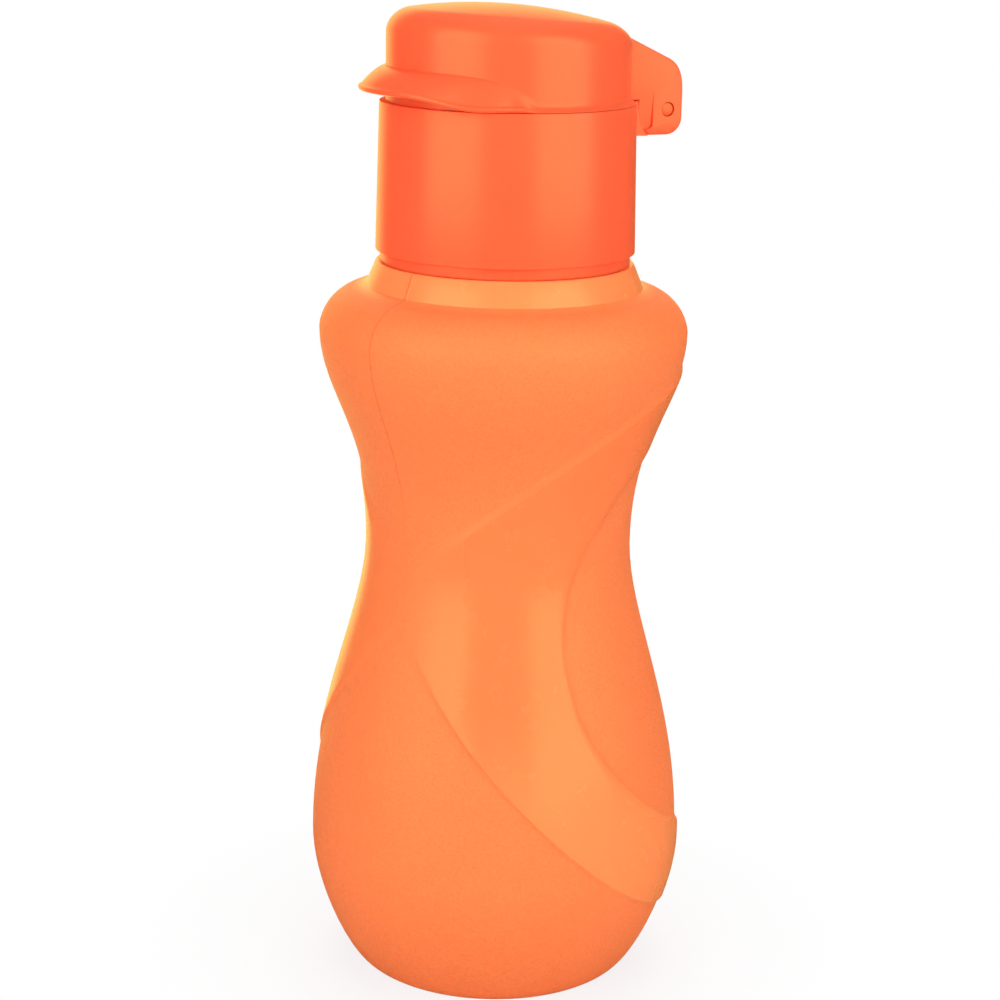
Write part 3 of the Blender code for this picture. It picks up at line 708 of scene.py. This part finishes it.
for side in (-1, 1):
    recess_shape = plate(recess_outline, recess_half_width, 0.0)
    bmesh.ops.translate(recess_shape, verts=recess_shape.verts,
                        vec=(side * (ear_outer + recess_half_width), 0.0, 0.0))
    bmesh.ops.rotate(recess_shape, verts=recess_shape.verts,
                     cent=(side * ear_outer, pin_y, recess_top),
                     matrix=Matrix.Rotation(side * recess_tilt, 3, "Y"))
    carve(arm, "DIFFERENCE", recess_shape)
carve(arm, "DIFFERENCE", pin_rod(pin_radius + pin_gap, 0.012))
arm_shape = bmesh.new()
arm_shape.from_mesh(arm.data)
bpy.data.objects.remove(arm)
carve(lid, "UNION", arm_shape)

seal_face = 0.1833
stud_radius = 0.0030
stud_top = 0.1885
stud_gap = 0.0003
boss_foot, boss_radius = 0.1852, 0.0065
boss_top = (roof_under + roof_bend(0.0, boss_radius, lid_top)) / 2
boss_profile = rounded([(0.0, boss_foot, 0.0), (boss_radius, boss_foot, 0.0003),
                        (boss_radius, boss_top, 0.0), (0.0, boss_top, 0.0)])
carve(lid, "UNION", turn_profile(boss_profile, 64))
socket_radius, socket_top = stud_radius + stud_gap, stud_top + stud_gap
socket_profile = [(0.0, seal_face), (socket_radius, seal_face), (socket_radius, socket_top),
                  (0.0, socket_top)]
carve(lid, "DIFFERENCE", turn_profile(socket_profile, 48))
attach(lid, "lid")
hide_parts("flip_lid")


# Spout seal: a disc of soft silicone with a rounded edge and a stud, which is pressed into the
# socket under the lid and closes the spout.
seal_back = 0.1849
seal_radius = 0.0092
seal_edge = 0.0005
seal_profile = rounded([(0.0, stud_top, 0.0), (stud_radius, stud_top, 0.0004),
                        (stud_radius, seal_back, 0.0), (seal_radius, seal_back, seal_edge),
                        (seal_radius, seal_face, seal_edge), (0.0, seal_face, 0.0)])
seal = finished_piece("seal_disc", turn_profile(seal_profile, 96), silicone)
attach(seal, "lid")
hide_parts("spout_seal")


# Studio: the bottle stands on a pale floor that runs out to plain white and is seen from a little
# above. Two tall soft boxes shape it, weaker ones fill in the front, the back and the top, and its
# reflections are warmer than the white that is seen.
view_bearing = radians(65.0)        # of the camera, from -Y towards +X
view_pitch = radians(15.14)
view_roll = radians(1.15)
view_target = Vector((0.0, 0.0, 0.09554))
view_distance = 0.460


def bearing_point(bearing, distance, height):
    """A point at a bearing from -Y towards +X."""
    return Vector((distance * sin(bearing), -distance * cos(bearing), height))


camera_data = bpy.data.cameras.new("camera")
camera_data.sensor_width = 36.0
camera_data.lens = 82.8
camera = bpy.data.objects.new("camera", camera_data)
camera_turn = (Matrix.Rotation(view_bearing, 4, "Z") @ Matrix.Rotation(pi / 2 - view_pitch, 4, "X")
               @ Matrix.Rotation(view_roll, 4, "Z"))
camera_place = view_target + camera_turn.to_3x3() @ Vector((0.0, 0.0, view_distance))
camera.matrix_world = Matrix.Translation(camera_place) @ camera_turn
bpy.context.scene.collection.objects.link(camera)
bpy.context.scene.camera = camera

box_distance = 0.70
box_height = 0.90
for name, side, tilt, middle, width, power in (("left_box", -47.5, 0.0, 0.46, 0.66, 5.6),
                                               ("right_box", 52.0, 0.0, 0.46, 0.72, 6.0),
                                               ("front_box", 0.0, 25.0, 0.10, 0.60, 1.4),
                                               ("back_box", 180.0, 20.0, 0.10, 0.60, 4.4),
                                               ("top_box", 180.0, 66.0, 0.10, 0.60, 3.6)):
    box_data = bpy.data.lights.new(name, "AREA")
    box_data.shape = "RECTANGLE"
    box_data.size = width
    box_data.size_y = box_height
    box_data.energy = power
    box = bpy.data.objects.new(name, box_data)
    bearing = view_bearing + radians(side)
    place = bearing_point(bearing, box_distance * cos(radians(tilt)),
                          middle + box_distance * sin(radians(tilt)))
    box.matrix_world = (Matrix.Translation(place) @ Matrix.Rotation(bearing, 4, "Z")
                        @ Matrix.Rotation(radians(90.0 - tilt), 4, "X"))
    box.visible_glossy = tilt == 0.0
    bpy.context.scene.collection.objects.link(box)


sheen_bearing = view_bearing - radians(165.0)        # behind the bottle, to the left


def studio_group():
    """Shader group of the studio's colour: white to the eye, warm in reflections."""
    group = bpy.data.node_groups.new("studio_colour", "ShaderNodeTree")
    group.interface.new_socket("Place", in_out="INPUT", socket_type="NodeSocketVector")
    group.interface.new_socket("Mirrored", in_out="INPUT", socket_type="NodeSocketFloat")
    group.interface.new_socket("Colour", in_out="OUTPUT", socket_type="NodeSocketColor")
    nodes, links = group.nodes, group.links
    given = nodes.new("NodeGroupInput")
    result = nodes.new("NodeGroupOutput")
    direction = nodes.new("ShaderNodeVectorMath")
    direction.operation = "NORMALIZE"
    side = nodes.new("ShaderNodeVectorMath")
    side.operation = "DOT_PRODUCT"
    side.inputs[1].default_value = bearing_point(sheen_bearing, 1.0, 0.0)
    sheen = nodes.new("ShaderNodeMapRange")
    sheen.interpolation_type = "SMOOTHSTEP"
    sheen.inputs["From Min"].default_value = 0.84
    sheen.inputs["From Max"].default_value = 0.95
    warm = nodes.new("ShaderNodeMix")
    warm.data_type = "RGBA"
    warm.inputs["A"].default_value = (0.20, 0.15, 0.06, 1.0)
    warm.inputs["B"].default_value = (2.10, 1.50, 0.48, 1.0)
    seen = nodes.new("ShaderNodeMix")
    seen.data_type = "RGBA"
    seen.inputs["A"].default_value = (1.0, 1.0, 1.0, 1.0)
    links.new(given.outputs["Place"], direction.inputs[0])
    links.new(direction.outputs["Vector"], side.inputs[0])
    links.new(side.outputs["Value"], sheen.inputs["Value"])
    links.new(sheen.outputs["Result"], warm.inputs["Factor"])
    links.new(warm.outputs["Result"], seen.inputs["B"])
    links.new(given.outputs["Mirrored"], seen.inputs["Factor"])
    links.new(seen.outputs["Result"], result.inputs["Colour"])
    return group


studio_colour = studio_group()
floor_shape = bmesh.new()
bmesh.ops.create_circle(floor_shape, cap_ends=True, segments=96, radius=0.6)
floor_material = bpy.data.materials.new("pale_floor")
floor_material.use_nodes = True
floor_nodes, floor_links = floor_material.node_tree.nodes, floor_material.node_tree.links
floor_shader = floor_nodes["Principled BSDF"]
floor_shader.inputs["Base Color"].default_value = (0.64, 0.64, 0.64, 1.0)
floor_shader.inputs["Roughness"].default_value = 0.8
floor_rays = floor_nodes.new("ShaderNodeLightPath")
floor_white = floor_nodes.new("ShaderNodeEmission")
floor_colour = floor_nodes.new("ShaderNodeGroup")
floor_colour.node_tree = studio_colour
floor_place = floor_nodes.new("ShaderNodeTexCoord")
floor_span = floor_nodes.new("ShaderNodeVectorMath")
floor_span.operation = "LENGTH"
floor_fade = floor_nodes.new("ShaderNodeMapRange")
floor_fade.inputs["From Min"].default_value = 0.03
floor_fade.inputs["From Max"].default_value = 0.08
floor_fade.inputs["To Min"].default_value = 0.82
floor_seen = floor_nodes.new("ShaderNodeMath")
floor_seen.operation = "MULTIPLY"
floor_share = floor_nodes.new("ShaderNodeMath")
floor_share.operation = "MAXIMUM"
floor_mix = floor_nodes.new("ShaderNodeMixShader")
floor_links.new(floor_place.outputs["Object"], floor_span.inputs[0])
floor_links.new(floor_span.outputs["Value"], floor_fade.inputs["Value"])
floor_links.new(floor_rays.outputs["Is Camera Ray"], floor_seen.inputs[0])
floor_links.new(floor_fade.outputs["Result"], floor_seen.inputs[1])
floor_links.new(floor_seen.outputs["Value"], floor_share.inputs[0])
floor_links.new(floor_rays.outputs["Is Glossy Ray"], floor_share.inputs[1])
floor_links.new(floor_share.outputs["Value"], floor_mix.inputs["Fac"])
floor_links.new(floor_place.outputs["Object"], floor_colour.inputs["Place"])
floor_links.new(floor_rays.outputs["Is Glossy Ray"], floor_colour.inputs["Mirrored"])
floor_links.new(floor_colour.outputs["Colour"], floor_white.inputs["Color"])
floor_links.new(floor_shader.outputs["BSDF"], floor_mix.inputs[1])
floor_links.new(floor_white.outputs["Emission"], floor_mix.inputs[2])
floor_links.new(floor_mix.outputs["Shader"], floor_nodes["Material Output"].inputs["Surface"])
floor = finished_piece("floor", floor_shape, floor_material)

world = bpy.data.worlds.new("white_studio")
bpy.context.scene.world = world
world.use_nodes = True
world_nodes, world_links = world.node_tree.nodes, world.node_tree.links
world_rays = world_nodes.new("ShaderNodeLightPath")
world_place = world_nodes.new("ShaderNodeTexCoord")
world_colour = world_nodes.new("ShaderNodeGroup")
world_colour.node_tree = studio_colour
world_level = world_nodes.new("ShaderNodeMapRange")
world_level.inputs["From Min"].default_value = 1.0
world_level.inputs["From Max"].default_value = 0.0
world_level.inputs["To Min"].default_value = 1.0
world_level.inputs["To Max"].default_value = 0.07
world_links.new(world_place.outputs["Generated"], world_colour.inputs["Place"])
world_links.new(world_rays.outputs["Is Glossy Ray"], world_colour.inputs["Mirrored"])
world_links.new(world_colour.outputs["Colour"], world_nodes["Background"].inputs["Color"])
world_seen = world_rays.outputs["Is Camera Ray"]
for ray in ("Is Transmission Ray", "Is Glossy Ray"):
    either = world_nodes.new("ShaderNodeMath")
    either.operation = "MAXIMUM"
    world_links.new(world_seen, either.inputs[0])
    world_links.new(world_rays.outputs[ray], either.inputs[1])
    world_seen = either.outputs["Value"]
world_links.new(world_seen, world_level.inputs["Value"])
world_links.new(world_level.outputs["Result"], world_nodes["Background"].inputs["Strength"])

bpy.context.scene.view_settings.view_transform = "Standard"
